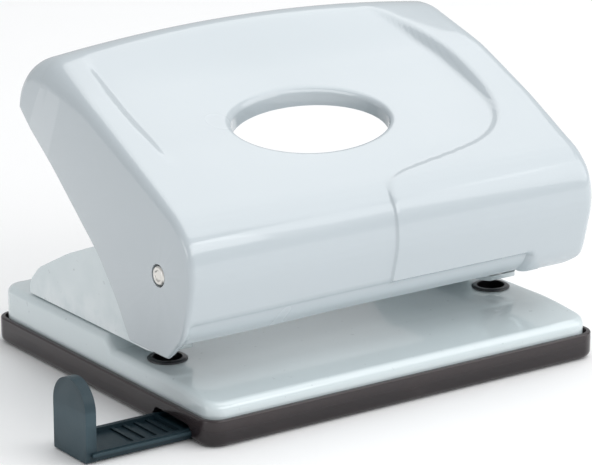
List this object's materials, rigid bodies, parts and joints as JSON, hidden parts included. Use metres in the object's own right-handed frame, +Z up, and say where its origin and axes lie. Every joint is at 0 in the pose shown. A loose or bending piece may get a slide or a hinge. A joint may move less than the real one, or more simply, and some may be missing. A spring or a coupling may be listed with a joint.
{
  "type": "hole punch",
  "caption": "Two-hole paper punch with a broad moulded handle, pressed steel base, smoked chip tray and sliding paper guide.",
  "frame": {"origin": "middle of the chip tray's underside, on the table", "axes": "+X to the right along the row of two punches, -Y to the front where the paper goes in, +Z up"},
  "size_m": [0.1191, 0.081, 0.0668],
  "materials": {
    "gloss_plastic": "moulded, glossy, pale grey-blue",
    "enamelled_steel": "gloss enamel, pale grey-blue",
    "smoked_plastic": "smoked, slightly translucent",
    "dark_plastic": "satin, dark grey-teal",
    "plated_sheet": "zinc-plated sheet",
    "pin_steel": "bright, ground",
    "zinc_plate": "bright zinc",
    "hardened_steel": "ground, hardened",
    "spring_steel": "drawn wire"
  },
  "bodies": {
    "tray": {"chip_tray": "smoked_plastic"},
    "guide": {"paper_guide": "dark_plastic"},
    "base": {"base_plate": "enamelled_steel", "bracket_left": "enamelled_steel", "bracket_right": "enamelled_steel", "die_left": "hardened_steel", "die_right": "hardened_steel", "rivet_left_front": "zinc_plate", "rivet_left_rear": "zinc_plate", "rivet_right_front": "zinc_plate", "rivet_right_rear": "zinc_plate", "pivot_pin_left": "pin_steel", "pivot_pin_right": "pin_steel", "pin_clip_left": "zinc_plate", "pin_clip_right": "zinc_plate", "spring_left": "spring_steel", "spring_right": "spring_steel"},
    "handle": {"handle_cover": "gloss_plastic", "lever_left": "plated_sheet", "lever_right": "plated_sheet", "cover_screw_left": "zinc_plate", "cover_screw_right": "zinc_plate"},
    "punch_left": {"punch_left": "hardened_steel", "spring_washer_left": "zinc_plate", "punch_clip_left": "zinc_plate"},
    "punch_right": {"punch_right": "hardened_steel", "spring_washer_right": "zinc_plate", "punch_clip_right": "zinc_plate"}
  },
  "joints": [
    {"name": "base_lift", "type": "slide", "parent": "tray", "child": "base", "axis": [0, 0, 1], "range_m": [0, 0.012]},
    {"name": "paper_guide_slide", "type": "slide", "parent": "tray", "child": "guide", "axis": [-1, 0, 0], "range_m": [-0.0165, 0.035]},
    {"name": "handle_hinge", "type": "hinge", "parent": "base", "child": "handle", "pos_m": [0, -0.0257, 0.0308], "axis": [-1, 0, 0], "range_deg": [0, 23], "stiffness_Nm_per_rad": 0.5, "springref_deg": -17.19},
    {"name": "punch_left_slide", "type": "slide", "parent": "base", "child": "punch_left", "axis": [0, 0, -1], "range_m": [0, 0.0053], "deforming": ["spring_left"]},
    {"name": "punch_right_slide", "type": "slide", "parent": "base", "child": "punch_right", "axis": [0, 0, -1], "range_m": [0, 0.0053], "deforming": ["spring_right"]}
  ],
  "couplings": [
    {"joint": "punch_left_slide", "follows": "handle_hinge", "m_per_rad": 0.01281},
    {"joint": "punch_right_slide", "follows": "handle_hinge", "m_per_rad": 0.01281}
  ]
}
